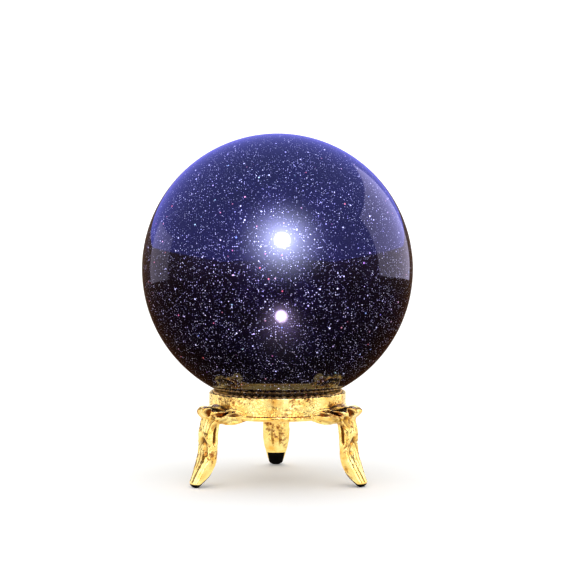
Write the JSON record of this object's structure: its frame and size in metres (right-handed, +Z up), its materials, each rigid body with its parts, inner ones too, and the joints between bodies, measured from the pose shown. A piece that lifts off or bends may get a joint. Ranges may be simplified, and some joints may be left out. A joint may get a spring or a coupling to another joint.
{
  "type": "goldstone sphere on stand",
  "caption": "Polished dark blue goldstone sphere resting on a gilt brass band with three leaf-carved cabriole legs.",
  "frame": {"origin": "centre of the stand on the table plane, under the sphere's centre", "axes": "+Z up, +Y towards the back leg, +X to the right of someone facing the two front legs"},
  "size_m": [0.08, 0.08, 0.1025],
  "materials": {
    "goldstone": "polished aventurine glass, opaque, with copper-free blue flecks",
    "gilt_band": "gilt, bright, softly wrinkled",
    "gilt_beads": "gilt, bright",
    "gilt_casting": "gilt, bright, cast",
    "rubber": "matt black",
    "screw_brass": "turned"
  },
  "bodies": {
    "stand": {"band": "gilt_band", "leg_back": "gilt_casting", "leg_front_left": "gilt_casting", "leg_front_right": "gilt_casting", "sole_back": "rubber", "sole_front_left": "rubber", "sole_front_right": "rubber", "screw_back": "screw_brass", "screw_front_left": "screw_brass", "screw_front_right": "screw_brass"},
    "seat": {"seat_ring": "gilt_beads"},
    "ball": {"sphere": "goldstone"}
  },
  "joints": [
    {"name": "seat_turn", "type": "hinge", "parent": "stand", "child": "seat", "pos_m": [0, 0, 0.0258], "axis": [0, 0, 1], "continuous": true},
    {"name": "sphere_lift", "type": "slide", "parent": "seat", "child": "ball", "axis": [0, 0, 1], "range_m": [0, 0.05]}
  ]
}
